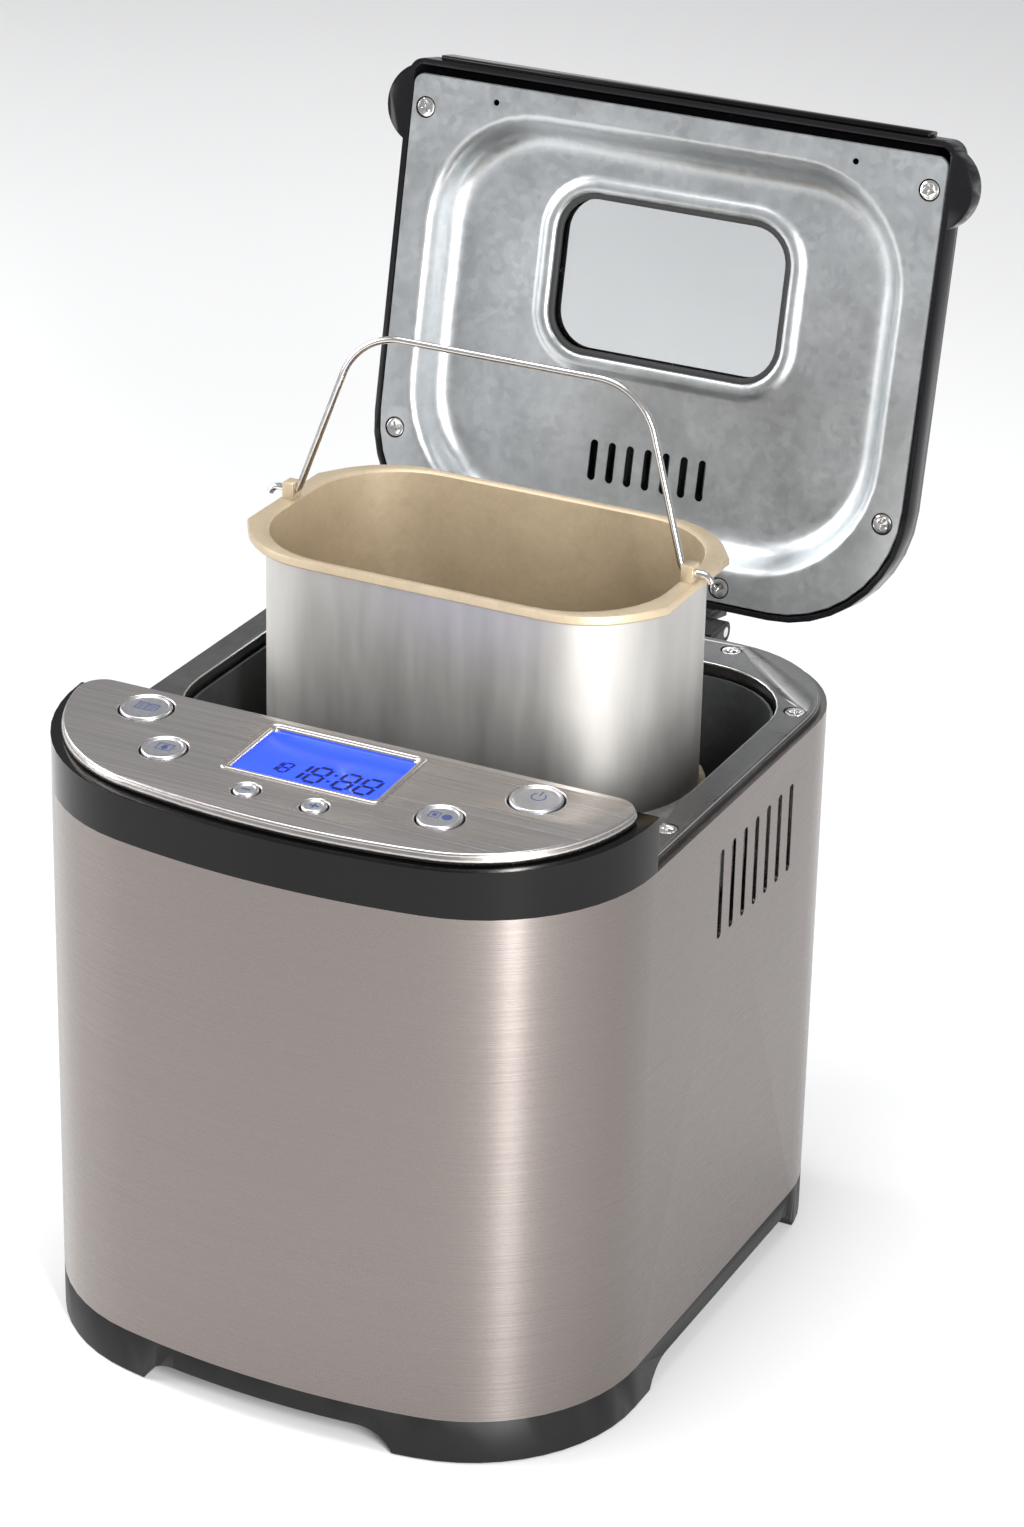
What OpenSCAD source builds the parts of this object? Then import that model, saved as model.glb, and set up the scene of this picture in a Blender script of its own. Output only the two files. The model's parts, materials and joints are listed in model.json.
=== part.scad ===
// Household bread machine with a lift-out pan, shown with its lid open and the pan raised.
// Millimetres, +Z up. The origin is on the surface it stands on, under the middle of its box.

/* [Body] */
// Width of the steel body
body_w = 225; // [222:1:228]
// Depth of the steel body on its middle line
body_d = 258; // [256:1:260]
// Height of the steel wrap
wrap_h = 194.5; // [192:0.5:197]
// Height of the base, from the surface to the wrap
base_h = 17.5; // [16.5:0.5:19]
// Bulge of the front over the half width
front_bow = 20; // [18:1:22]
// Radius of the front corners
front_r = 66; // [64:1:68]
// Radius of the rear corners
rear_r = 51; // [48:1:52]
// Steam slots on each side
slot_count = 7; // [5:1:8]

/* [Control panel] */
// Slope of the panel, rising towards the back
panel_deg = 3; // [2:0.5:4]
// Height of the gloss band at the front, over the wrap
band_h = 16.6; // [15:0.2:18]
// Depth of the panel plate from the front of the body
panel_d = 72; // [70:1:73]
// Width of the display opening
lcd_w = 57; // [50:1:60]
// Depth of the display opening
lcd_d = 33; // [28:1:34]
// How far a button travels
press_mm = 0.8; // [0.4:0.1:1]

/* [Lid] */
// How far the lid stands open
open_deg = 101.4; // [95:0.1:103]
// Depth of the pressed recess in the inner plate
recess_d = 13; // [11:0.5:14]
// Width of the window
window_w = 97; // [85:1:100]
// Length of the window
window_l = 62; // [50:1:64]

/* [Pan] */
// Half length of the pan
pan_a = 77.5; // [75:0.5:78]
// Half depth of the pan
pan_b = 48.5; // [46:0.5:49]
// Height of the pan, floor to rim
pan_h = 96; // [90:1:98]
// How far the pan stands raised out of its seat
pan_lift = 77.5; // [0:0.5:90]
// Height of the wire bail over its pivot
bail_h = 62; // [58:1:64]
// Backward lean of the bail
bail_lean = 7; // [0:1:12]

/* [Drive] */
// Radius of the pulley under the chamber
pulley_r = 52; // [48:1:54]
// Radius of the motor pulley
pinion_r = 9; // [8:0.5:10]

/* [Hidden] */

half_w = body_w / 2;
y_mid = 166.35;                       // from the front of the body to the middle of the box
wrap_t = 1;
z_wrap = base_h;
z_top = base_h + wrap_h;             // top edge of the steel wrap
z_ring = z_top + 3;                  // top of the trim ring
floor_z = 9.5;
floor_t = 2.5;
ring_ins = 3.6;

open_w = 198;                        // chamber opening in the trim ring
open_y0 = 85;
open_y1 = 233.7;
open_rf = 45;
open_rr = 38;
liner_ins = 1.5;
liner_z = 90;
liner_top = z_ring - 5;

lcd_x = -2;
lcd_y = 49;
plate_gap = 1.2;
plate_t = 3.3;
skin_t = 1.2;

// x, y from the front, radius
button_menu_at = [-77, 57.5, 9.3];
button_loaf_at = [-56, 34, 7.9];
button_minus_at = [-16, 20.5, 4.5];
button_plus_at = [10, 20.5, 4.5];
button_colour_at = [51, 32, 7.9];
button_start_at = [74, 57.5, 9.3];

hinge_y = 272;
hinge_z = z_ring - 4.8;
hinge_pin_r = 2;
hinge_bore_r = 2.06;
barrel_r = 4;
lid_z = z_ring + 0.3;                // underside of the closed lid
lid_half = 112;
lid_y0 = 77.4;
lid_y1 = 265.4;
lid_rf = 6;
lid_rr = 50;
lid_wall = 12;                       // upright part of the lid's side
plate_y0 = 83.2;
plate_y1 = 262.4;
plate_half = 109.3;
sheet_t = 0.8;
window_y = 150;
ear_r = 16;
ear_x = 104;
ear_y = 95;

pan_y = 164;
pan_r = 36;
pan_z = liner_z + 14;                // floor of the seated pan
pan_t = 1.2;
rim_a = 83;
rim_b = 51;
rim_z = pan_z + pan_h;
pivot_z = rim_z + 3;
wire_r = 1.3;
tab_bore_r = 1.36;
bail_x = 76;                         // foot of the bail's leg
bail_top_x = 56.3;
bail_r = 24;

shaft_r = 4;
shaft_bore_r = 4.06;
motor_at = [-50, 45];
motor_r = 30;
belt_z = 27;
belt_h = 6;
belt_t = 2.5;

screw_head_r = 3.6;
screw_r = 1.6;

function arc_pts(cx, cy, r, a0, a1, n) =
    [for (i = [0:n]) let (a = a0 + (a1 - a0) * i / n) [cx + r * cos(a), cy + r * sin(a)]];

function mirrored(p) = [for (i = [len(p) - 1:-1:0]) [-p[i][0], p[i][1]]];

bow_r = (half_w * half_w + front_bow * front_bow) / (2 * front_bow);
corner_x = half_w - front_r;
corner_y = bow_r - sqrt(pow(bow_r - front_r, 2) - corner_x * corner_x);
bow_deg = atan2(corner_y - bow_r, corner_x);

// right half of the front, from the middle line to where the side runs straight
function front_pts(ins) = concat(
    [for (i = [1:8]) let (a = -90 + (bow_deg + 90) * i / 8)
        [(bow_r - ins) * cos(a), bow_r + (bow_r - ins) * sin(a)]],
    [for (i = [1:12]) let (a = bow_deg * (1 - i / 12))
        [corner_x + (front_r - ins) * cos(a), corner_y + (front_r - ins) * sin(a)]]);

function body_half(ins) = concat(
    front_pts(ins),
    arc_pts(half_w - rear_r, body_d - rear_r, rear_r - ins, 0, 90, 12));

function body_pts(ins) = concat(body_half(ins), mirrored(body_half(ins)), [[0, ins]]);

// outline of the panel plate: the body's front, then a rounded corner and a straight back edge
plate_r = front_r - 3.9;
plate_end = asin((panel_d - 10 - corner_y) / (plate_r - 10));

function plate_half_pts(ins) = concat(
    [for (i = [1:8]) let (a = -90 + (bow_deg + 90) * i / 8)
        [(bow_r - 3.9 - ins) * cos(a), bow_r + (bow_r - 3.9 - ins) * sin(a)]],
    [for (i = [1:12]) let (a = bow_deg + (plate_end - bow_deg) * i / 12)
        [corner_x + (plate_r - ins) * cos(a), corner_y + (plate_r - ins) * sin(a)]],
    [for (i = [1:6]) let (a = plate_end + (90 - plate_end) * i / 6)
        [corner_x + (plate_r - 10) * cos(plate_end) + (10 - ins) * cos(a),
         panel_d - 10 + (10 - ins) * sin(a)]]);

function plate_pts(ins) =
    concat(plate_half_pts(ins), mirrored(plate_half_pts(ins)), [[0, 3.9 + ins]]);

// rounded outline with one radius at the front corners and another at the rear ones
function tub_pts(half, y0, y1, rf, rr, ins) = let (
    f = max(rf - ins, 0.8),
    r = max(rr - ins, 0.8),
    h = half - ins) concat(
    arc_pts(h - f, y0 + ins + f, f, -90, 0, 9),
    arc_pts(h - r, y1 - ins - r, r, 0, 90, 9),
    arc_pts(-h + r, y1 - ins - r, r, 90, 180, 9),
    arc_pts(-h + f, y0 + ins + f, f, 180, 270, 9));

function chamber_pts(ins) = tub_pts(open_w / 2, open_y0, open_y1, open_rf, open_rr, ins);
function lid_pts(ins) = tub_pts(lid_half, lid_y0, lid_y1, lid_rf, lid_rr, ins);
function pan_pts(ins) = tub_pts(pan_a, pan_y - pan_b, pan_y + pan_b, pan_r, pan_r, ins);

// one quarter of the rim, whose end stands out to a point
function rim_quarter(ins) = concat(
    [[rim_a - ins, 26 - ins / 2], [76.5 - ins, 36 - ins / 2]],
    arc_pts(47, 15, 36 - ins, 42, 90, 7));
function rim_pts(ins) = let (
    q = rim_quarter(ins),
    top = concat(q, mirrored(q)),
    low = [for (i = [len(top) - 1:-1:0]) [top[i][0], -top[i][1]]])
    [for (p = concat(top, low)) [p[0], p[1] + pan_y]];

module placed() {
    translate([0, -y_mid, 0]) children();
}

module slab(points, z0, z1) {
    translate([0, 0, z0]) linear_extrude(z1 - z0) polygon(points);
}

module wall(outer, inner, z0, z1) {
    translate([0, 0, z0]) linear_extrude(z1 - z0) difference() {
        polygon(outer);
        polygon(inner);
    }
}

module block(low, high) {
    translate(low) cube(high - low);
}

module pole(x, y, z0, z1, r) {
    translate([x, y, z0]) cylinder(h = z1 - z0, r = r, $fn = 48);
}

module along_x(x0, x1, y, z, r) {
    translate([x0, y, z]) rotate([0, 90, 0]) cylinder(h = x1 - x0, r = r, $fn = 48);
}

module along_y(x, y0, y1, z, r) {
    translate([x, y0, z]) rotate([-90, 0, 0]) cylinder(h = y1 - y0, r = r, $fn = 48);
}

// the plane of the gloss band's top, which the panel lies on
module on_panel() {
    placed() translate([0, 0, z_top + band_h]) rotate([panel_deg, 0, 0]) children();
}

module rest_lid() {
    placed() translate([0, hinge_y, hinge_z]) rotate([-open_deg, 0, 0])
        translate([0, -hinge_y, -hinge_z]) children();
}

module rest_pan() {
    placed() translate([0, 0, pan_lift]) children();
}

module rest_bail() {
    rest_pan() translate([0, pan_y, pivot_z]) rotate([-bail_lean, 0, 0]) children();
}

module both_sides() {
    children();
    mirror([1, 0, 0]) children();
}

// ---- base ----

// profile of the arch between two feet
module arch(width, length) {
    r = 14;
    translate([-width / 2 + r, -length / 2, -40]) cube([width - 2 * r, length, 40 + floor_z]);
    translate([-width / 2, -length / 2, -40]) cube([width, length, 40 + floor_z - r]);
    for (s = [-1, 1])
        translate([s * (width / 2 - r), length / 2, floor_z - r]) rotate([90, 0, 0])
            cylinder(h = length, r = r, $fn = 64);
}

foot_at = [[-82, 46], [82, 46], [-82, 228], [82, 228]];
leg_at = [[-84, 106], [84, 106], [-84, 216], [84, 216]];
bracket_leg_at = [[-76, 30], [-14, 18], [-80, 72], [-8, 50]];

module base() {
    color("#1b1a1b") placed() difference() {
        union() {
            slab(body_pts(0), 0.6, floor_z + floor_t);
            wall(body_pts(0), body_pts(3.2), floor_z, z_wrap);
            wall(body_pts(1.2), body_pts(3.2), floor_z, z_wrap + 8);
        }
        translate([0, body_d / 2, 0]) arch(102, body_d + 40);
        translate([0, 147, 0]) rotate([0, 0, 90]) arch(130, body_w + 40);
        for (p = foot_at) pole(p[0], p[1], 0, 2.6, 8);
        for (p = leg_at) {
            pole(p[0], p[1], -1, floor_z + floor_t + 1, 2);
            pole(p[0], p[1], -1, 9.5, 5);
        }
    }
}

module foot_pads() {
    color("#2c2c2c") placed() for (p = foot_at) pole(p[0], p[1], 0, 2.6, 8);
}

module base_screws() {
    color("silver") placed() for (p = leg_at) {
        pole(p[0], p[1], 7.5, 9.5, screw_head_r);
        pole(p[0], p[1], 9.5, 22, 2);
    }
}

// ---- body ----

module side_slot(y) {
    z0 = z_wrap + 144.8 + 1.7;
    z1 = z_wrap + 179.3 - 1.7;
    block([-half_w - 2, y - 1.7, z0], [half_w + 2, y + 1.7, z1]);
    for (z = [z0, z1]) along_x(-half_w - 2, half_w + 2, y, z, 1.7);
}

module body_wrap() {
    color("#a39c98") placed() difference() {
        union() {
            wall(body_pts(0), body_pts(wrap_t), z_wrap, z_top);
            wall(body_pts(0), body_pts(3.2), z_top - wrap_t, z_top);
        }
        for (i = [0:slot_count - 1]) side_slot(126.5 + 10.07 * i);
        block([-62, body_d - 5, 58], [62, body_d + 5, 162]);
        along_y(82, body_d - 20, body_d + 5, 36, 7);
    }
}

module rear_cover() {
    color("#1b1a1b") placed() difference() {
        union() {
            block([-61.8, body_d - 2.5, 58.2], [61.8, body_d, 161.8]);
            block([-66, body_d, 54], [66, body_d + 1.8, 166]);
        }
        for (i = [0:9])
            block([-48, body_d - 5, 70 + 8.6 * i], [48, body_d + 5, 73.4 + 8.6 * i]);
    }
}

module cord_gland() {
    color("#1b1a1b") placed() translate([82, 0, 36]) difference() {
        union() {
            along_y(0, body_d, body_d + 3, 0, 9.5);
            along_y(0, body_d - 12, body_d, 0, 6.95);
        }
        along_y(0, body_d - 20, body_d + 5, 0, 3.6);
    }
}

module ring_screw_places() {
    both_sides() for (p = [[103.6, 98], [103.6, 208], [61, 247.6]])
        translate([p[0], p[1], 0]) children();
}

module trim_ring() {
    color("#4b4a4c") placed() difference() {
        union() {
            wall(body_pts(ring_ins), chamber_pts(0), z_top, z_ring);
            wall(body_pts(2.4), body_pts(ring_ins), z_top, z_top + 1.6);
            wall(body_pts(4.2), body_pts(5.6), z_top - 12, z_top);
            wall(chamber_pts(-1.2), chamber_pts(0), z_top - 7, z_top);
        }
        difference() {
            slab(body_pts(12), z_top - 1, z_ring + 1);
            block([-half_w, 64, z_top - 2], [half_w, body_d + 1, z_ring + 2]);
        }
        ring_screw_places() {
            pole(0, 0, z_top - 1, z_ring + 1, screw_r);
            pole(0, 0, z_ring - 1.5, z_ring + 1, 4.2);
        }
    }
}

module cross_slot(z, depth) {
    for (a = [0, 90])
        rotate([0, 0, a + 20]) translate([-2.2, -0.45, z - depth]) cube([4.4, 0.9, depth + 1]);
}

module ring_screws() {
    color("silver") placed() ring_screw_places() difference() {
        union() {
            pole(0, 0, z_ring - 1.5, z_ring - 0.1, screw_head_r);
            pole(0, 0, z_top - 8, z_ring - 1.5, screw_r);
        }
        cross_slot(z_ring, 0.9);
    }
}

// ---- control panel ----

module front_band() {
    color("#0d0c0d") intersection() {
        placed() difference() {
            slab(body_pts(0), z_top, z_top + 30);
            slab(body_pts(2.4), z_top - 1, z_ring);
            difference() {
                slab(body_pts(2.4), z_top - 1, z_top + band_h - 2);
                block([-half_w, 70, z_ring], [half_w, 80, z_top + 40]);
            }
            difference() {
                slab(body_pts(9), z_top, z_top + 40);
                block([-half_w, 68, z_top - 1], [half_w, body_d, z_top + 41]);
            }
            block([-half_w - 1, 72, z_top - 1], [half_w + 1, body_d + 1, z_top + 40]);
        }
        on_panel() block([-half_w - 5, -5, -40], [half_w + 5, 90, 0]);
    }
}

module button_hole(at) {
    translate([at[0], at[1], plate_gap]) cylinder(h = 10, r = at[2] + 0.4, $fn = 64);
}

// a pressed sheet with stepped edges, hollow below
module panel_plate() {
    top = plate_gap + plate_t;
    color("#aaa39f") on_panel() difference() {
        union() {
            slab(plate_pts(1.8), 0, plate_gap + 0.2);
            slab(plate_pts(0), plate_gap, plate_gap + 1.5);
            slab(plate_pts(0.6), plate_gap + 1.4, plate_gap + 2.5);
            slab(plate_pts(2), plate_gap + 2.4, top);
        }
        slab(plate_pts(3.4), -1, top - skin_t);
        block([lcd_x - lcd_w / 2, lcd_y - lcd_d / 2, 0], [lcd_x + lcd_w / 2, lcd_y + lcd_d / 2, 9]);
        button_hole(button_menu_at);
        button_hole(button_loaf_at);
        button_hole(button_minus_at);
        button_hole(button_plus_at);
        button_hole(button_colour_at);
        button_hole(button_start_at);
    }
}

module display_window() {
    top = plate_gap + plate_t - skin_t;
    color("#2b52e0") on_panel()
        block([lcd_x - lcd_w / 2 - 2, lcd_y - lcd_d / 2 - 2, top - 1.2],
              [lcd_x + lcd_w / 2 + 2, lcd_y + lcd_d / 2 + 2, top]);
}

module display_module() {
    top = plate_gap + plate_t - skin_t - 1.2;
    color("#9fb0b8") on_panel()
        block([lcd_x - lcd_w / 2 - 3, lcd_y - lcd_d / 2 - 2, -5],
              [lcd_x + lcd_w / 2 + 3, lcd_y + lcd_d / 2 + 2, top]);
}

module control_board() {
    color("darkgreen") on_panel() {
        block([-86, 26, -6.6], [86, 66, -5]);
        for (at = [button_menu_at, button_loaf_at, button_colour_at, button_start_at])
            translate([at[0], at[1], -5]) cylinder(h = 3, r = 3, $fn = 32);
        block([-24, 16, -6.6], [18, 26, -5]);
        for (at = [button_minus_at, button_plus_at])
            translate([at[0], at[1], -5]) cylinder(h = 3, r = 3, $fn = 32);
    }
}

// a round cap with a collar that holds it under the plate
module button_cap(at) {
    color("#b9b6b2") on_panel() translate([at[0], at[1], 0]) {
        translate([0, 0, -1]) cylinder(h = 6.6, r = at[2], $fn = 64);
        translate([0, 0, 1.4]) cylinder(h = 1, r = at[2] + 1, $fn = 64);
    }
}

module button_menu() { button_cap(button_menu_at); }
module button_loaf() { button_cap(button_loaf_at); }
module button_minus() { button_cap(button_minus_at); }
module button_plus() { button_cap(button_plus_at); }
module button_colour() { button_cap(button_colour_at); }
module button_start() { button_cap(button_start_at); }

module power_board() {
    board_z = floor_z + floor_t;
    color("darkgreen") placed() {
        block([18, 50, board_z], [94, 51.6, 118]);
        block([26, 28, board_z + 12], [56, 50, board_z + 44]);
        block([66, 34, board_z + 16], [84, 50, board_z + 34]);
        for (x = [30, 44, 58]) along_y(x, 38, 50, 84, 5);
    }
}

// ---- baking chamber ----

heater_z = liner_z + 7;
heater_r = 3.3;
heater_half = 88;
heater_y0 = 97;
heater_y1 = 221;
heater_bend = 32;
terminal_x = 10;

module chamber_liner() {
    color("#3a3d40") placed() difference() {
        union() {
            wall(chamber_pts(liner_ins), chamber_pts(liner_ins + 1), liner_z, liner_top);
            slab(chamber_pts(liner_ins), liner_z, liner_z + 1);
        }
        pole(0, pan_y, liner_z - 1, liner_z + 2, 9.2);
        for (s = [-1, 1]) along_y(s * terminal_x, open_y0 - 5, open_y0 + 10, heater_z, 6);
        along_y(40, open_y0 - 5, open_y0 + 10, 140, 4.2);
    }
}

module heat_shield() {
    color("#8b9094") placed() difference() {
        wall(chamber_pts(-3.4), chamber_pts(-2.6), 66, z_top - 14);
        for (s = [-1, 1]) along_y(s * terminal_x, open_y0 - 12, open_y0 + 2, heater_z, 6);
        along_y(40, open_y0 - 12, open_y0 + 2, 140, 4.2);
    }
}

module heater_bend_at(x, y, a) {
    translate([x, y, heater_z]) rotate([0, 0, a]) rotate_extrude(angle = 90, $fn = 64)
        translate([heater_bend, 0]) circle(r = heater_r, $fn = 24);
}

module heater() {
    inner_x = heater_half - heater_bend;
    color("#4a4643") placed() {
        both_sides() {
            heater_bend_at(inner_x, heater_y0 + heater_bend, -90);
            heater_bend_at(inner_x, heater_y1 - heater_bend, 0);
            along_y(heater_half, heater_y0 + heater_bend, heater_y1 - heater_bend, heater_z, heater_r);
            along_x(terminal_x, inner_x, heater_y0, heater_z, heater_r);
            translate([terminal_x, heater_y0, heater_z]) sphere(r = heater_r, $fn = 32);
            along_y(terminal_x, open_y0 - 4, heater_y0, heater_z, heater_r);
        }
        along_x(-inner_x, inner_x, heater_y1, heater_z, heater_r);
    }
}

module heater_terminals() {
    color("ivory") placed() for (s = [-1, 1]) difference() {
        along_y(s * terminal_x, open_y0 - 16, open_y0 + 2.5, heater_z, 5.9);
        along_y(s * terminal_x, open_y0 - 4, open_y0 + 10, heater_z, heater_r);
    }
}

module heater_clips() {
    color("silver") placed() both_sides() for (y = [140, 180]) difference() {
        block([heater_half - 5, y - 4, liner_z + 1], [heater_half + 5, y + 4, heater_z + 1]);
        along_y(heater_half, y - 6, y + 6, heater_z, heater_r + 0.05);
    }
}

module temp_sensor() {
    color("silver") placed() {
        along_y(40, open_y0 - 10, open_y0 + 12, 140, 4.1);
        along_y(40, open_y0 + liner_ins + 1, open_y0 + liner_ins + 2.4, 140, 8);
    }
}

module seat_ring() {
    color("#8b9094") placed() difference() {
        pole(0, pan_y, liner_z + 1, pan_z - 0.5, 44);
        pole(0, pan_y, liner_z, pan_z, 40);
    }
}

// ---- drive ----

module chassis() {
    color("#8b9094") placed() difference() {
        union() {
            block([-92, 98, 60], [92, 224, 62]);
            for (p = leg_at) pole(p[0], p[1], floor_z + floor_t, liner_z, 6);
        }
        pole(0, pan_y, 59, 63, 13);
        for (p = leg_at) pole(p[0], p[1], 0, 22, 2);
    }
}

module bearing_housing() {
    color("#6f6a60") placed() difference() {
        union() {
            pole(0, pan_y, 46, liner_z, 13);
            pole(0, pan_y, 62, 65, 20);
            pole(0, pan_y, liner_z, liner_z + 1.6, 9.2);
        }
        pole(0, pan_y, 40, liner_z + 5, shaft_bore_r);
    }
}

module drive_shaft() {
    color("silver") placed() pole(0, pan_y, 20, liner_z + 8, shaft_r);
}

module drive_pulley() {
    color("#2a2a2a") placed() difference() {
        union() {
            pole(0, pan_y, 22, 38, 11);
            difference() {
                pole(0, pan_y, belt_z - 2, belt_z + belt_h + 2, pulley_r);
                pole(0, pan_y, belt_z - 3, belt_z + belt_h + 3, pulley_r - 5);
            }
            pole(0, pan_y, belt_z + 1, belt_z + belt_h - 1, pulley_r - 4);
        }
        pole(0, pan_y, 0, 60, shaft_r);
        for (a = [0:60:300])
            translate([0, pan_y, 0]) rotate([0, 0, a]) pole(29, 0, 0, 60, 9);
    }
}

module drive_coupling() {
    color("#6f6a60") placed() difference() {
        union() {
            pole(0, pan_y, liner_z + 2, liner_z + 8, 6.5);
            block([-2, pan_y - 13.5, liner_z + 3], [2, pan_y + 13.5, liner_z + 8]);
        }
        pole(0, pan_y, liner_z, liner_z + 20, shaft_r);
    }
}

module motor_bracket() {
    top = 42;
    color("#8b9094") placed() {
        difference() {
            intersection() {
                block([-84, 10, top - 2], [-2, 80, top]);
                slab(body_pts(7), top - 3, top + 1);
            }
            pole(motor_at[0], motor_at[1], top - 3, top + 1, 8);
        }
        for (p = bracket_leg_at) pole(p[0], p[1], floor_z + floor_t, top - 2, 4);
    }
}

module motor() {
    color("#a9a9a4") placed() translate([motor_at[0], motor_at[1], 0]) difference() {
        union() {
            pole(0, 0, 42, 108, motor_r - 4);
            pole(0, 0, 52, 98, motor_r);
            pole(0, 0, 108, 114, 9);
        }
        pole(0, 0, 40, 70, 3.06);
    }
}

module motor_pulley() {
    color("#2a2a2a") placed() translate([motor_at[0], motor_at[1], 0]) {
        pole(0, 0, belt_z - 1, belt_z + belt_h + 1, pinion_r);
        pole(0, 0, belt_z - 2.5, belt_z - 1, pinion_r + 2);
        pole(0, 0, belt_z + belt_h + 1, belt_z + belt_h + 2.5, pinion_r + 2);
        pole(0, 0, 22, 68, 3);
    }
}

module belt_path(extra, z0, z1) {
    hull() {
        pole(0, pan_y, z0, z1, pulley_r + extra);
        pole(motor_at[0], motor_at[1], z0, z1, pinion_r + extra);
    }
}

module belt() {
    color("#161616") placed() difference() {
        belt_path(0.4 + belt_t, belt_z, belt_z + belt_h);
        belt_path(0.4, belt_z - 1, belt_z + belt_h + 1);
    }
}

// ---- lid, drawn closed and turned open ----

ear_z1 = lid_z + 9;
dome_z = lid_z + 22;

module lid_screw_places() {
    both_sides() for (p = [[103.4, 95.7], [102.4, 220.4], [40.8, 257]])
        translate([p[0], p[1], 0]) children();
}

module window_hole(extra, z0, z1) {
    slab(tub_pts(window_w / 2 + extra, window_y - window_l / 2 - extra,
                 window_y + window_l / 2 + extra, 16 + extra, 16 + extra, 0), z0, z1);
}

module dome(ins, z0, drop) {
    hull() {
        slab(lid_pts(ins), z0, lid_z + lid_wall - drop);
        slab(lid_pts(ins + 2.5), z0, lid_z + lid_wall + 4.5 - drop);
        slab(lid_pts(ins + 12), z0, lid_z + lid_wall + 8 - drop);
        slab(lid_pts(ins + 34), z0, dome_z - drop);
    }
}

module steam_slots(z0, z1, w) {
    for (i = [-3:3]) {
        block([7.6 * i - w, 212.5 + w, z0], [7.6 * i + w, 228.5 - w, z1]);
        for (y = [212.5 + w, 228.5 - w]) pole(7.6 * i, y, z0, z1, w);
    }
}

module lid_shell() {
    color("#121112") rest_lid() difference() {
        union() {
            difference() {
                union() {
                    dome(0, lid_z, 0);
                    both_sides() intersection() {
                        pole(ear_x, ear_y, lid_z, ear_z1, ear_r);
                        block([lid_half - 1, 70, lid_z], [lid_half + 20, 130, ear_z1]);
                    }
                }
                dome(2.2, lid_z - 1, 2.2);
            }
            intersection() {
                lid_screw_places() pole(0, 0, lid_z + sheet_t + 0.6, dome_z, 5);
                dome(1, lid_z, 1);
            }
            difference() {
                window_hole(8, lid_z + recess_d + 5, dome_z - 2);
                window_hole(0, lid_z + recess_d, dome_z);
            }
        }
        lid_screw_places() pole(0, 0, lid_z, lid_z + 10, screw_r);
        window_hole(1.5, dome_z - 1.8, dome_z + 1);
        window_hole(-2, lid_z + recess_d + 2, dome_z + 1);
        steam_slots(lid_z + 15, dome_z + 1, 1.7);
    }
}

module lid_front_trim() {
    color("#0d0c0d") rest_lid() block([-100, lid_y0 - 2, lid_z + 1.5], [100, lid_y0, lid_z + 10.5]);
}

function recess_pts(ins) = tub_pts(97.3, 93.4, 249.4, 44, 50, ins);

module lid_inner_plate() {
    color("#b7bdc0") rest_lid() difference() {
        union() {
            slab(tub_pts(plate_half, plate_y0, plate_y1, 4, 48, 0), lid_z, lid_z + sheet_t);
            hull() {
                slab(recess_pts(-sheet_t), lid_z, lid_z + sheet_t);
                slab(recess_pts(4), lid_z, lid_z + recess_d - 3);
                slab(recess_pts(13), lid_z, lid_z + recess_d + sheet_t);
            }
        }
        hull() {
            slab(recess_pts(0), lid_z - 1, lid_z + 0.1);
            slab(recess_pts(5), lid_z - 1, lid_z + recess_d - 3);
            slab(recess_pts(14), lid_z - 1, lid_z + recess_d);
        }
        window_hole(0, lid_z, lid_z + 30);
        steam_slots(lid_z, lid_z + 30, 1.7);
        lid_screw_places() pole(0, 0, lid_z - 1, lid_z + 2, 4.2);
        both_sides() pole(73.7, 89.7, lid_z - 1, lid_z + 2, 1.2);
    }
}

module lid_screws() {
    color("silver") rest_lid() lid_screw_places() difference() {
        union() {
            pole(0, 0, lid_z + 0.1, lid_z + sheet_t + 0.6, screw_head_r);
            pole(0, 0, lid_z + sheet_t, lid_z + 9.5, screw_r);
        }
        mirror([0, 0, 1]) cross_slot(-lid_z, 0.9);
    }
}

module window_seal() {
    color("#161616") rest_lid() difference() {
        window_hole(3, lid_z + recess_d + sheet_t, lid_z + recess_d + sheet_t + 1);
        window_hole(0, lid_z, lid_z + 30);
    }
}

module lid_glass_inner() {
    color("#c9cdd2", 0.4) rest_lid()
        window_hole(3, lid_z + recess_d + sheet_t + 1, lid_z + recess_d + sheet_t + 3);
}

module lid_glass_outer() {
    color("#c9cdd2", 0.4) rest_lid() window_hole(1.3, dome_z - 1.8, dome_z);
}

module lid_hinge_arms() {
    color("#161616") rest_lid() both_sides() difference() {
        union() {
            along_x(30, 42, hinge_y, hinge_z, barrel_r);
            block([31, lid_y1, hinge_z], [41, hinge_y, hinge_z + 3.9]);
            block([31, lid_y1, hinge_z], [41, lid_y1 + 4, lid_z + lid_wall - 1]);
        }
        along_x(29, 43, hinge_y, hinge_z, hinge_bore_r);
    }
}

module hinge_brackets() {
    color("#161616") placed() both_sides() difference() {
        union() {
            block([22, body_d, 184], [51, body_d + 2.5, hinge_z + 1.4]);
            for (x = [[24, 29.6], [42.4, 48]]) {
                along_x(x[0], x[1], hinge_y, hinge_z, 4.2);
                block([x[0], body_d, hinge_z - 9], [x[1], hinge_y, hinge_z - 1]);
                block([x[0], body_d, hinge_z - 1], [x[1], hinge_y, hinge_z + 4.2]);
                block([x[0], hinge_y - 2, hinge_z - 4.2], [x[1], hinge_y, hinge_z]);
            }
        }
        along_x(20, 52, hinge_y, hinge_z, hinge_pin_r);
    }
}

module hinge_pins() {
    color("silver") placed() both_sides() along_x(24, 48, hinge_y, hinge_z, hinge_pin_r);
}

// ---- pan, drawn seated and raised ----

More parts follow.
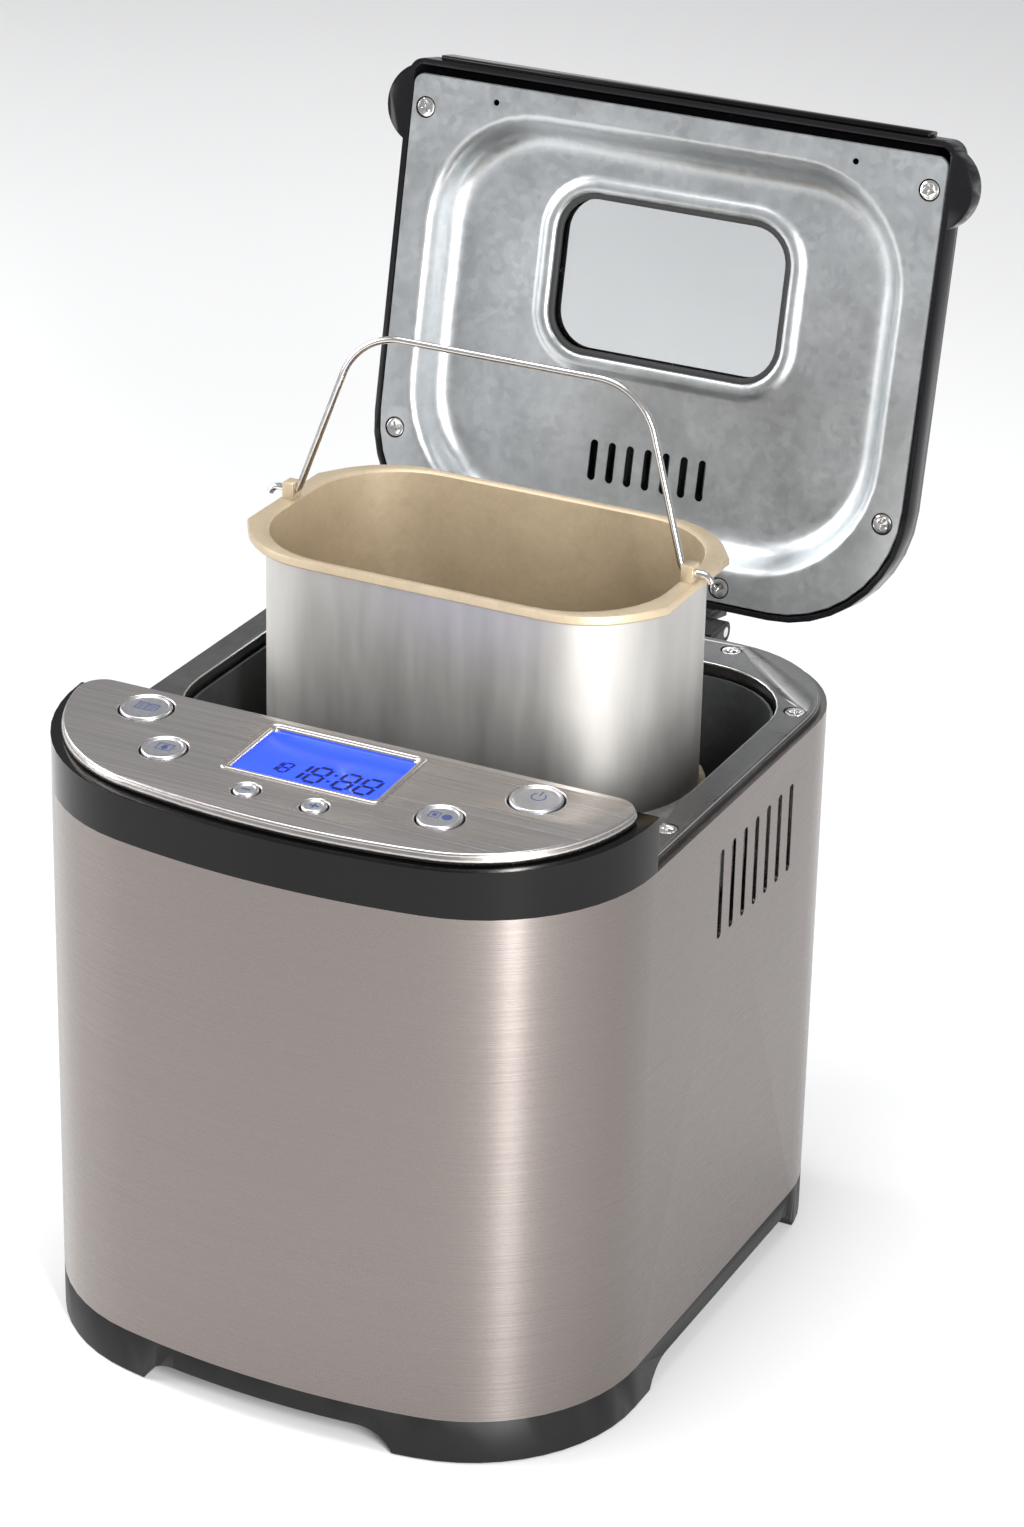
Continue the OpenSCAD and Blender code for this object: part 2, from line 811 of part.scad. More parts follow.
module pan_body() {
    color("#b3aea8") rest_pan() difference() {
        union() {
            wall(pan_pts(0), pan_pts(pan_t), pan_z, rim_z);
            slab(pan_pts(0), pan_z, pan_z + 1.5);
            wall(rim_pts(0), pan_pts(pan_t), rim_z - pan_t, rim_z);
            wall(rim_pts(0), rim_pts(1.2), rim_z - 3.4, rim_z);
        }
        pole(0, pan_y, pan_z - 1, pan_z + 3, 8);
    }
}

module pan_base_band() {
    color("#c9b08a") rest_pan() {
        wall(tub_pts(pan_a, pan_y - pan_b, pan_y + pan_b, pan_r, pan_r, -2.6), pan_pts(0), pan_z, pan_z + 7);
        difference() {
            pole(0, pan_y, pan_z - 9, pan_z, 38);
            pole(0, pan_y, pan_z - 10, pan_z + 1, 35);
        }
    }
}

module bail_tabs() {
    color("#c9b08a") rest_pan() both_sides() difference() {
        block([77.2, pan_y - 3, rim_z], [81.6, pan_y + 3, pivot_z + 3]);
        along_x(76, 83, pan_y, pivot_z, tab_bore_r);
    }
}

module pan_bush() {
    color("#6f6a60") rest_pan() difference() {
        union() {
            pole(0, pan_y, pan_z - 2.6, pan_z + 8, 8);
            pole(0, pan_y, pan_z + 1.5, pan_z + 3, 12);
        }
        pole(0, pan_y, pan_z - 10, pan_z + 20, shaft_bore_r);
    }
}

// the wire in its own plane: x across, z up from the pivot
// middle line of the bail, from its right end over the top to its left end
function bail_half_pts() = let (
    lean_in = atan2(bail_x - bail_top_x, bail_h),
    back = bail_r * tan((90 - lean_in) / 2),
    cx = bail_top_x - back) concat(
    [[bail_x, 0]],
    [for (i = [0:10]) let (a = lean_in + (90 - lean_in) * i / 10)
        [cx + bail_r * cos(a), bail_h - bail_r + bail_r * sin(a)]]);
function bail_pts() = concat(bail_half_pts(), mirrored(bail_half_pts()));

// a bent wire, as a flat outline with some thickness and a round pin at each end
module bail() {
    color("silver") rest_bail() {
        rotate([90, 0, 0]) translate([0, 0, -wire_r]) linear_extrude(2 * wire_r) difference() {
            offset(r = wire_r) polygon(bail_pts());
            offset(delta = -wire_r) polygon(bail_pts());
            translate([-bail_x + wire_r, -20]) square([2 * bail_x - 2 * wire_r, 20.2 + wire_r]);
        }
        both_sides() along_x(bail_x - 1, 86.5, 0, 0, wire_r);
        both_sides() along_x(86.5, 88.5, 0, 0, wire_r + 1.2);
    }
}

module paddle() {
    foot = pan_z + 8.5;
    color("#57534f") rest_pan() difference() {
        union() {
            pole(0, pan_y, foot, foot + 22, 9);
            hull() {
                block([6, pan_y - 3.5, foot], [10, pan_y + 3.5, foot + 20]);
                block([36, pan_y - 1.5, foot], [43, pan_y + 1.5, foot + 12]);
            }
        }
        pole(0, pan_y, foot - 1, foot + 18, shaft_r);
    }
}

module pan_shaft() {
    color("silver") rest_pan() pole(0, pan_y, pan_z - 3.4, pan_z + 26.4, shaft_r);
}

module pan_coupling() {
    z1 = pan_z - 3.4;
    color("#6f6a60") rest_pan() {
        pole(0, pan_y, z1 - 2, z1, 15);
        for (s = [-1, 1]) block([s * 12.2 - 2.2, pan_y - 5, z1 - 8], [s * 12.2 + 2.2, pan_y + 5, z1 - 2]);
    }
}

base();
foot_pads();
base_screws();
body_wrap();
rear_cover();
cord_gland();
trim_ring();
ring_screws();
front_band();
panel_plate();
display_window();
display_module();
control_board();
power_board();
button_menu();
button_loaf();
button_minus();
button_plus();
button_colour();
button_start();
chamber_liner();
heat_shield();
heater();
heater_terminals();
heater_clips();
temp_sensor();
seat_ring();
chassis();
bearing_housing();
motor_bracket();
motor();
motor_pulley();
belt();
drive_pulley();
drive_shaft();
drive_coupling();
hinge_brackets();
hinge_pins();
lid_shell();
lid_front_trim();
lid_inner_plate();
lid_screws();
window_seal();
lid_glass_inner();
lid_glass_outer();
lid_hinge_arms();
pan_body();
pan_base_band();
bail_tabs();
pan_bush();
bail();
paddle();
pan_shaft();
pan_coupling();
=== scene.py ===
import json
import bpy
from math import asin, atan2, cos, pi, radians, sin, tan
from mathutils import Vector, Matrix


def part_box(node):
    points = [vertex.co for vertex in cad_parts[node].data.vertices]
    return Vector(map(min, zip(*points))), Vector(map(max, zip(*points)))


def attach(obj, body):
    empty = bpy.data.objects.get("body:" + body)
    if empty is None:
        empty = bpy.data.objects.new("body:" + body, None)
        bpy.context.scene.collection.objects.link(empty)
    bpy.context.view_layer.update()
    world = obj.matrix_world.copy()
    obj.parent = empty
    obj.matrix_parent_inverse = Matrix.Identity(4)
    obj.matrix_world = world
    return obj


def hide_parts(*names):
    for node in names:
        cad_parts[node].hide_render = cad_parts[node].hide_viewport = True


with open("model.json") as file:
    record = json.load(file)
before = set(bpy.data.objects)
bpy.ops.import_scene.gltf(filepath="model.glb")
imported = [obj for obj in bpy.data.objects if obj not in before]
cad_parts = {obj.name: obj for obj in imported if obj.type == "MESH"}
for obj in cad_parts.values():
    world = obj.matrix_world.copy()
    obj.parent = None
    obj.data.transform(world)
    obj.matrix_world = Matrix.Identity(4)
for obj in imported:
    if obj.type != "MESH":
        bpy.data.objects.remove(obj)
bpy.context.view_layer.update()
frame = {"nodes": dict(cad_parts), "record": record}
record = frame["record"]
bodyOfNode = {node: body for body, nodes in record["behaviour"]["bodies"].items() for node in nodes}
jointOf = {row["name"]: row for row in record["behaviour"]["joints"]}
mm = 0.001

# camera, floor and lights

view = {"place": (0.633, -1.26735, 0.8515), "turn": 26.14, "height": 25.1, "roll": 1.305, "lens": 101.1}


def addCamera():
    az, el, roll = radians(view["turn"]), radians(view["height"]), radians(view["roll"])
    back = Vector((sin(az) * cos(el), -cos(az) * cos(el), sin(el)))
    right = Vector((cos(az), sin(az), 0))
    up = back.cross(right)
    side = right * cos(roll) + up * sin(roll)
    top = up * cos(roll) - right * sin(roll)
    bpy.ops.object.camera_add()
    camera = bpy.context.object
    turn = Matrix((side, top, back)).transposed().to_4x4()
    camera.matrix_world = Matrix.Translation(view["place"]) @ turn
    camera.data.lens, camera.data.sensor_width, camera.data.sensor_fit = view["lens"], 36, "AUTO"
    camera.data.clip_start = 0.05
    bpy.context.scene.camera = camera


addCamera()
bpy.context.scene.view_settings.view_transform = "Standard"

studio = {
    "sky": (0.97, 0.98, 1.0, 1), "skyStrength": 0.42,
    # name: place, aim, width, height, power
    "lamps": {
        "overhead": ((-0.3, -0.1, 1.9), (0, 0, 0.2), 1.3, 1.1, 20),
        "leftSheet": ((-1.7, -0.9, 1.0), (0, 0, 0.2), 0.8, 1.4, 18),
        "cornerStrip": ((1.15, -1.15, 0.62), (0.06, -0.08, 0.12), 0.26, 1.2, 44),
        "rearSheet": ((-1.9, 0.25, 1.1), (0, 0, 0.3), 0.9, 1.1, 14),
    },
}


def addStudio():
    bpy.ops.mesh.primitive_plane_add(size=14, location=(0, 0, 0))
    floor = bpy.context.object
    floor.name = "studioFloor"
    for name, (place, aim, wide, high, power) in studio["lamps"].items():
        bpy.ops.object.light_add(type="AREA", location=place)
        lamp = bpy.context.object
        lamp.name = name
        lamp.data.shape, lamp.data.size, lamp.data.size_y = "RECTANGLE", wide, high
        lamp.data.energy = power
        lamp.rotation_euler = (Vector(aim) - Vector(place)).to_track_quat("-Z", "Y").to_euler()
    world = bpy.context.scene.world or bpy.data.worlds.new("studioSky")
    bpy.context.scene.world = world
    world.use_nodes = True
    sky = world.node_tree.nodes["Background"]
    sky.inputs["Color"].default_value = studio["sky"]
    sky.inputs["Strength"].default_value = studio["skyStrength"]
    return floor


floor = addStudio()
print("camera and studio ready")

# finishes


class Wire:  # a socket that can be used in sums
    def __init__(self, finish, socket):
        self.finish, self.socket = finish, socket

    def sum(self, operation, a, b):
        return self.finish.node("ShaderNodeMath", {"operation": operation}, {0: a, 1: b})

    def __add__(self, other): return self.sum("ADD", self, other)
    def __radd__(self, other): return self.sum("ADD", other, self)
    def __sub__(self, other): return self.sum("SUBTRACT", self, other)
    def __rsub__(self, other): return self.sum("SUBTRACT", other, self)
    def __mul__(self, other): return self.sum("MULTIPLY", self, other)
    def __rmul__(self, other): return self.sum("MULTIPLY", other, self)


class Finish:
    def __init__(self, name, **fixed):
        self.material = bpy.data.materials.new(name)
        self.material.use_nodes = True
        self.tree = self.material.node_tree
        self.shader = self.tree.nodes["Principled BSDF"]
        for socket, value in fixed.items():
            self.shader.inputs[socket.replace("_", " ")].default_value = value
        self.place = self.node("ShaderNodeTexCoord", {}, {}, out="Object")

    def node(self, kind, settings, inputs, out=0):
        made = self.tree.nodes.new(kind)
        for key, value in settings.items():
            if key == "stops":
                while len(made.color_ramp.elements) < len(value):
                    made.color_ramp.elements.new(0.5)
                for stop, (at, tone) in zip(made.color_ramp.elements, value):
                    stop.position, stop.color = at, tone
            else:
                setattr(made, key, value)
        for key, value in inputs.items():
            if isinstance(value, Wire):
                self.tree.links.new(value.socket, made.inputs[key])
            else:
                made.inputs[key].default_value = value
        return Wire(self, made.outputs[out])

    def feed(self, socket, wire):
        self.tree.links.new(wire.socket, self.shader.inputs[socket])

    def noise(self, stretch, scale, detail=4.0, rough=0.6):
        place = self.node("ShaderNodeMapping", {}, {"Vector": self.place, "Scale": stretch})
        return self.node("ShaderNodeTexNoise", {}, {"Vector": place, "Scale": scale, "Detail": detail,
                                                    "Roughness": rough})

    def ramp(self, wire, low, high):
        black, white = (0, 0, 0, 1), (1, 1, 1, 1)
        return self.node("ShaderNodeValToRGB", {"stops": [(low, black), (high, white)]}, {"Fac": wire})

    def tint(self, wire, a, b):
        return self.node("ShaderNodeMix", {"data_type": "RGBA"}, {0: wire, 6: (*a, 1), 7: (*b, 1)}, out=2)

    def bump(self, wire, strength, depth):
        self.feed("Normal", self.node("ShaderNodeBump", {}, {"Height": wire, "Strength": strength,
                                                             "Distance": depth}))


def brushed(name, dark, light, stretch, rough, depth=0.00004, lean=0.0, metallic=1.0):
    made = Finish(name, Metallic=metallic, Anisotropic=lean, Anisotropic_Rotation=0.25)
    fine = made.ramp(made.noise(stretch, 1.0, 3, 0.7), 0.3, 0.72)
    broad = made.noise((1, 1, 1), 9.0, 3, 0.5)
    made.feed("Base Color", made.tint(fine * 0.7 + broad * 0.3, dark, light))
    made.feed("Roughness", rough - 0.05 + fine * 0.07 + broad * 0.06)
    made.bump(fine, 0.35, depth)
    return made


def moulded(name, tone, rough, grain=1400.0, depth=0.00003, coat=0.0, **fixed):
    made = Finish(name, Coat_Weight=coat, **fixed)
    speck = made.noise((1, 1, 1), grain, 2, 0.5)
    cloud = made.noise((1, 1, 1), 18, 3, 0.5)
    pale = tuple(min(1, c * 1.35 + 0.002) for c in tone)
    made.feed("Base Color", made.tint(made.ramp(cloud, 0.35, 0.7) * 0.5 + speck * 0.3, tone, pale))
    made.feed("Roughness", rough + (speck - 0.5) * 0.10 + (cloud - 0.5) * 0.08)
    made.bump(speck, 0.25, depth)
    return made


def sheetMetal(name, dark, light, rough, cells=46.0, metallic=1.0):
    made = Finish(name, Metallic=metallic)
    flake = made.node("ShaderNodeTexVoronoi", {}, {"Vector": made.place, "Scale": cells * 9}, out="Color")
    flake = made.node("ShaderNodeSeparateColor", {}, {"Color": flake}, out=0)
    cloud = made.ramp(made.noise((1, 1, 1), cells, 4, 0.6), 0.3, 0.7)
    dust = made.noise((1, 1, 1), 900, 3, 0.6)
    mix = cloud * 0.45 + flake * 0.25 + dust * 0.3
    made.feed("Base Color", made.tint(mix, dark, light))
    made.feed("Roughness", rough - 0.06 + mix * 0.14)
    made.bump(dust * 0.5 + flake * 0.5, 0.12, 0.00002)
    return made


finishes = {
    "wrapSteel": brushed("wrapSteel", (0.20, 0.175, 0.163), (0.24, 0.213, 0.20), (1.5, 1.5, 2600), 0.26,
                         0.00002, 0.8),
    "panelSteel": brushed("panelSteel", (0.47, 0.44, 0.42), (0.66, 0.63, 0.61), (9.0, 1500, 1500), 0.23),
    "capSteel": brushed("capSteel", (0.50, 0.50, 0.52), (0.66, 0.66, 0.68), (900, 900, 900), 0.30),
    "blackBase": moulded("blackBase", (0.006, 0.006, 0.0065), 0.42, Specular_IOR_Level=0.2),
    "blackGloss": moulded("blackGloss", (0.002, 0.0018, 0.002), 0.06, grain=300, depth=0.000003,
                          Specular_IOR_Level=0.2),
    "blackLid": moulded("blackLid", (0.005, 0.005, 0.006), 0.18, grain=700, depth=0.00001,
                        Specular_IOR_Level=0.25),
    "ringMetal": sheetMetal("ringMetal", (0.16, 0.155, 0.155), (0.25, 0.245, 0.24), 0.30, 60),
    "linerPaint": sheetMetal("linerPaint", (0.075, 0.078, 0.08), (0.13, 0.135, 0.14), 0.42, 50, 0.6),
    "zincSheet": sheetMetal("zincSheet", (0.47, 0.49, 0.50), (0.66, 0.68, 0.69), 0.34, 40),
    "panMetal": brushed("panMetal", (0.50, 0.485, 0.465), (0.64, 0.625, 0.60), (60, 60, 9), 0.57, 0.00001),
    "panLining": sheetMetal("panLining", (0.42, 0.335, 0.225), (0.53, 0.435, 0.305), 0.40, 60, 0.35),
    "polishedSteel": brushed("polishedSteel", (0.66, 0.65, 0.63), (0.80, 0.79, 0.77), (260, 260, 260), 0.16),
    "castMetal": sheetMetal("castMetal", (0.20, 0.19, 0.175), (0.34, 0.32, 0.30), 0.50, 120, 0.8),
    "softRubber": moulded("softRubber", (0.014, 0.014, 0.014), 0.62),
    "circuitGreen": moulded("circuitGreen", (0.02, 0.11, 0.05), 0.35),
    "whiteCeramic": moulded("whiteCeramic", (0.72, 0.70, 0.64), 0.30),
    "darkInk": moulded("darkInk", (0.03, 0.05, 0.16), 0.35),
    "segmentInk": moulded("segmentInk", (0.001, 0.004, 0.06), 0.30, Specular_IOR_Level=0.2),
}


def litDisplay():
    made = Finish("litDisplay", Roughness=0.14, Coat_Weight=0.4, Emission_Strength=0.6)
    glow = made.noise((1, 1, 1), 24, 2, 0.5)
    blue = made.tint(made.ramp(glow, 0.25, 0.75), (0.008, 0.045, 0.80), (0.016, 0.08, 0.98))
    made.feed("Base Color", blue)
    made.feed("Emission Color", blue)
    return made


def clearPane():
    made = Finish("clearPane", Transmission_Weight=1.0, IOR=1.25)
    film = made.noise((1, 1, 1), 14, 2, 0.5)
    made.feed("Base Color", made.tint(film, (0.80, 0.815, 0.82), (0.86, 0.87, 0.875)))
    made.feed("Roughness", 0.01 + film * 0.015)
    return made


def paleFloor():
    made = Finish("paleFloor")
    cloud = made.noise((1, 1, 1), 2.0, 2, 0.5)
    made.feed("Base Color", made.tint(cloud, (0.88, 0.88, 0.88), (0.91, 0.91, 0.91)))
    made.feed("Roughness", 0.6 + cloud * 0.1)
    return made


finishes["litDisplay"] = litDisplay()
finishes["clearPane"] = clearPane()
floor.data.materials.append(paleFloor().material)
print("finishes ready")

# helpers


def clearSelection():
    if bpy.context.mode != "OBJECT":
        bpy.ops.object.mode_set(mode="OBJECT")
    bpy.ops.object.select_all(action="DESELECT")


def pick(piece):
    clearSelection()
    piece.select_set(True)
    bpy.context.view_layer.objects.active = piece


def settle(piece):  # its place goes into its mesh
    pick(piece)
    bpy.ops.object.transform_apply(location=True, rotation=True, scale=True)


def soften(piece, edge=0.0, angle=35, steps=2):  # rounds sharp edges, then shades smooth
    pick(piece)
    if edge:
        bevel = piece.modifiers.new("edge", "BEVEL")
        bevel.width, bevel.segments, bevel.limit_method = edge, steps, "ANGLE"
        bevel.angle_limit = radians(30)
        bevel.harden_normals = True
        bpy.ops.object.modifier_apply(modifier=bevel.name)
    bpy.ops.object.shade_smooth_by_angle(angle=radians(angle))


def paint(piece, finish):
    piece.data.materials.clear()
    piece.data.materials.append(finishes[finish].material)


def keep(piece, body, finish, nodes=()):
    settle(piece)
    paint(piece, finish)
    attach(piece, body)
    if nodes:
        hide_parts(*nodes)
    return piece


def refined(node, finish, edge=0.0, angle=35, steps=2):  # a copy of a CAD node with softened edges
    source = frame["nodes"][node]
    piece = bpy.data.objects.new(node + "Refined", source.data.copy())
    bpy.context.scene.collection.objects.link(piece)
    pick(piece)
    bpy.ops.object.mode_set(mode="EDIT")
    bpy.ops.mesh.select_all(action="SELECT")
    bpy.ops.mesh.remove_doubles(threshold=0.00001)
    bpy.ops.mesh.dissolve_limited(angle_limit=radians(0.6))
    bpy.ops.object.mode_set(mode="OBJECT")
    soften(piece, edge, angle, steps)
    return keep(piece, bodyOfNode[node], finish, nodes=(node,))


def tub(half, y0, y1, rf, rr, ins=0.0, steps=9):  # rounded outline, body coordinates in mm
    f, r, h = max(rf - ins, 0.8), max(rr - ins, 0.8), half - ins
    rows = [(h - f, y0 + ins + f, f, -90), (h - r, y1 - ins - r, r, 0),
            (-h + r, y1 - ins - r, r, 90), (-h + f, y0 + ins + f, f, 180)]
    return [(cx + q * cos(radians(a + 90 * i / steps)), cy + q * sin(radians(a + 90 * i / steps)))
            for cx, cy, q, a in rows for i in range(steps + 1)]


def loft(name, rings, closedTop=False, closedEnd=False):  # rings of equally many (x, y, z) in mm
    count = len(rings[0])
    points = [Vector(p) * mm for ring in rings for p in ring]
    faces = [(k * count + i, k * count + (i + 1) % count, (k + 1) * count + (i + 1) % count, (k + 1) * count + i)
             for k in range(len(rings) - 1) for i in range(count)]
    if closedTop:
        faces.append(tuple(reversed(range(count))))
    if closedEnd:
        faces.append(tuple(range((len(rings) - 1) * count, len(rings) * count)))
    mesh = bpy.data.meshes.new(name)
    mesh.from_pydata(points, [], faces)
    piece = bpy.data.objects.new(name, mesh)
    bpy.context.scene.collection.objects.link(piece)
    pick(piece)
    bpy.ops.object.mode_set(mode="EDIT")
    bpy.ops.mesh.select_all(action="SELECT")
    bpy.ops.mesh.normals_make_consistent(inside=False)
    bpy.ops.object.mode_set(mode="OBJECT")
    return piece


def flatCut(name, outlines, low, high, edge):  # a sheet with holes and rounded edges; mm
    curve = bpy.data.curves.new(name, "CURVE")
    curve.dimensions, curve.fill_mode = "2D", "BOTH"
    for outline in outlines:
        spline = curve.splines.new("POLY")
        spline.points.add(len(outline) - 1)
        for point, (x, y) in zip(spline.points, outline):
            point.co = (x * mm, y * mm, 0, 1)
        spline.use_cyclic_u = True
    curve.extrude = ((high - low) / 2 - edge) * mm
    curve.bevel_depth, curve.bevel_resolution = edge * mm, 3
    piece = bpy.data.objects.new(name, curve)
    bpy.context.scene.collection.objects.link(piece)
    piece.location.z = (low + high) / 2 * mm
    pick(piece)
    bpy.ops.object.convert(target="MESH")
    bpy.ops.object.transform_apply(location=True, rotation=True, scale=True)
    bpy.ops.object.mode_set(mode="EDIT")
    bpy.ops.mesh.select_all(action="SELECT")
    bpy.ops.mesh.remove_doubles(threshold=0.000005)
    bpy.ops.object.mode_set(mode="OBJECT")
    return piece


def wirePath(name, points, radius, cyclic=False):
    curve = bpy.data.curves.new(name, "CURVE")
    curve.dimensions = "3D"
    spline = curve.splines.new("POLY")
    spline.points.add(len(points) - 1)
    for point, place in zip(spline.points, points):
        point.co = (*(Vector(place) * mm), 1)
    spline.use_cyclic_u = cyclic
    curve.bevel_depth, curve.bevel_resolution, curve.use_fill_caps = radius * mm, 5, True
    piece = bpy.data.objects.new(name, curve)
    bpy.context.scene.collection.objects.link(piece)
    pick(piece)
    bpy.ops.object.convert(target="MESH")
    bpy.ops.object.shade_smooth_by_angle(angle=radians(50))
    return piece


def circle(x, y, r, count=48):
    return [(x + r * cos(2 * pi * i / count), y + r * sin(2 * pi * i / count)) for i in range(count)]


def join(pieces, name):
    clearSelection()
    for piece in pieces:
        piece.select_set(True)
    bpy.context.view_layer.objects.active = pieces[0]
    bpy.ops.object.join()
    pieces[0].name = name
    return pieces[0]


# places taken from the frame

body = {"depthToMiddle": -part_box("body_wrap")[0][1] / mm, "halfWidth": 112.5, "bow": 20.0,
        "frontRadius": 66.0, "topOfBand": 228.6, "panelTilt": 3.0, "lidOpen": 101.4,
        "panY": 164.0, "panLift": 77.5, "bailPivot": 203.0}
hinge = jointOf["lid_hinge"]["pos_m"]
onBody = Matrix.Translation((0, -body["depthToMiddle"] * mm, 0))
onPanelPlane = (Matrix.Translation((0, -body["depthToMiddle"] * mm, body["topOfBand"] * mm))
                @ Matrix.Rotation(radians(body["panelTilt"]), 4, "X"))
onOpenLid = (Matrix.Translation(hinge) @ Matrix.Rotation(radians(-body["lidOpen"]), 4, "X")
             @ Matrix.Translation(-Vector(hinge)) @ onBody)
onPan = Matrix.Translation((0, -body["depthToMiddle"] * mm, body["panLift"] * mm))


def placeBy(piece, matrix):
    piece.matrix_world = matrix
    settle(piece)
    return piece



# CAD nodes with softened edges

plain = {  # node: finish, edge radius in metres
    "base": ("blackBase", 0.0007), "foot_pads": ("softRubber", 0.0003), "base_screws": ("polishedSteel", 0),
    "body_wrap": ("wrapSteel", 0), "rear_cover": ("blackBase", 0.0003), "cord_gland": ("softRubber", 0.0003),
    "trim_ring": ("ringMetal", 0), "ring_screws": ("polishedSteel", 0.00025),
    "front_band": ("blackGloss", 0), "chamber_liner": ("linerPaint", 0),
    "hinge_brackets": ("blackBase", 0.0003), "hinge_pins": ("polishedSteel", 0),
    "lid_shell": ("blackLid", 0.0008), "lid_front_trim": ("blackGloss", 0.0006),
    "lid_screws": ("polishedSteel", 0.00025), "window_seal": ("softRubber", 0),
    "lid_hinge_arms": ("blackBase", 0.0003), "bail_tabs": ("panLining", 0.0004),
    "pan_base_band": ("panLining", 0.0004), "paddle": ("castMetal", 0.0006),
    "seat_ring": ("zincSheet", 0.0002), "heater": ("castMetal", 0.0002), "heater_clips": ("zincSheet", 0),
    "heater_terminals": ("whiteCeramic", 0.0002), "temp_sensor": ("polishedSteel", 0.0002),
    "drive_coupling": ("castMetal", 0.0004),
}
for node, (finish, edge) in plain.items():
    refined(node, finish, edge)

inner = {  # nodes that keep the CAD mesh
    "display_module": "circuitGreen", "control_board": "circuitGreen", "power_board": "circuitGreen",
    "heat_shield": "zincSheet", "chassis": "zincSheet", "bearing_housing": "castMetal",
    "motor_bracket": "zincSheet", "motor": "zincSheet", "motor_pulley": "blackBase", "belt": "softRubber",
    "drive_pulley": "blackBase", "drive_shaft": "polishedSteel", "lid_glass_inner": "clearPane",
    "lid_glass_outer": "clearPane", "pan_bush": "castMetal", "pan_shaft": "polishedSteel",
    "pan_coupling": "castMetal",
}
for node, finish in inner.items():
    paint(frame["nodes"][node], finish)
print("body, liner and base finished")

# bright beads on the trim ring's edges

bead = {"radius": 0.55, "height": 214.35, "opening": (99.0, 85.0, 233.7, 45.0, 38.0), "outerHeight": 213.9,
        "outerInset": 3.9, "rearRadius": 51.0, "back": 258.0, "front": 74.0}


def addRingBeads():
    half, y0, y1, rf, rr = bead["opening"]
    inner = wirePath("ringInnerBead", [(x, y, bead["height"]) for x, y in tub(half, y0, y1, rf, rr, 0.1)],
                     bead["radius"], cyclic=True)
    side, r = body["halfWidth"] - bead["outerInset"], bead["rearRadius"] - bead["outerInset"]
    back = bead["back"] - bead["outerInset"]
    right = [(side, bead["front"])] + [(side - r + r * cos(radians(a)), back - r + r * sin(radians(a)))
                                       for a in range(0, 91, 6)]
    path = right + [(-x, y) for x, y in reversed(right)]
    outer = wirePath("ringOuterBead", [(x, y, bead["outerHeight"]) for x, y in path], bead["radius"])
    for piece in (inner, outer):
        keep(placeBy(piece, onBody), "machine", "polishedSteel")


addRingBeads()

# control panel

panel = {
    "inset": 3.9, "depth": 72.0, "low": 1.25, "high": 4.5, "edge": 1.5, "rearCorner": 10.0,
    "display": (-2.0, 49.0, 57.0, 33.0), "displayCorner": 2.0,
    # name: x, y from the front, radius
    "buttons": {"menu": (-77, 57.5, 9.3), "loaf": (-56, 34, 7.9), "minus": (-16, 20.5, 4.5),
                "plus": (10, 20.5, 4.5), "colour": (51, 32, 7.9), "start": (74, 57.5, 9.3)},
    "buttonTop": 5.1,
}


def plateOutline(ins):  # bowed front, wide corners, straight back
    half, bow, r0 = body["halfWidth"], body["bow"], body["frontRadius"]
    bowR = (half * half + bow * bow) / (2 * bow)
    cx = half - r0
    cy = bowR - ((bowR - r0) ** 2 - cx * cx) ** 0.5
    start = atan2(cy - bowR, cx)
    q, rc, depth = panel["inset"] + ins, panel["rearCorner"], panel["depth"]
    r1 = r0 - panel["inset"]
    end = asin((depth - rc - cy) / (r1 - rc))
    right = [((bowR - q) * cos(a), bowR + (bowR - q) * sin(a))
             for a in [-pi / 2 + (start + pi / 2) * i / 16 for i in range(1, 17)]]
    right += [(cx + (r0 - q) * cos(a), cy + (r0 - q) * sin(a))
              for a in [start + (end - start) * i / 24 for i in range(1, 25)]]
    right += [(cx + (r1 - rc) * cos(end) + (rc - ins) * cos(a), depth - rc + (rc - ins) * sin(a))
              for a in [end + (pi / 2 - end) * i / 10 for i in range(1, 11)]]
    return right + [(-x, y) for x, y in reversed(right)] + [(0, q)]


def addPanelPlate():
    x, y, wide, deep = panel["display"]
    e = panel["edge"]
    window = tub(wide / 2 + 0.3, y - deep / 2 - 0.3, y + deep / 2 + 0.3, 2.2, 2.2)
    window = [(px + x, py) for px, py in window]
    holes = [circle(bx, by, r + 0.5 + 0.9) for bx, by, r in panel["buttons"].values()]
    main = flatCut("panelPlate", [plateOutline(e), window] + holes, panel["low"], panel["high"], e * 0.6)
    bpy.ops.object.shade_smooth_by_angle(angle=radians(40))
    skirt = loft("panelSkirt", [[(px, py, z) for px, py in plateOutline(i)] for i, z in
                                ((1.5, 0.02), (0.5, 0.35), (0.15, 1.0), (0.0, 1.7), (0.15, 2.6), (0.55, 3.4),
                                 (1.1, 4.0), (1.9, 4.38), (2.8, 4.45))])
    bpy.ops.object.shade_smooth_by_angle(angle=radians(60))
    plate = join([main, skirt], "panelPlate")
    return keep(placeBy(plate, onPanelPlane), "machine", "panelSteel", nodes=("panel_plate",))


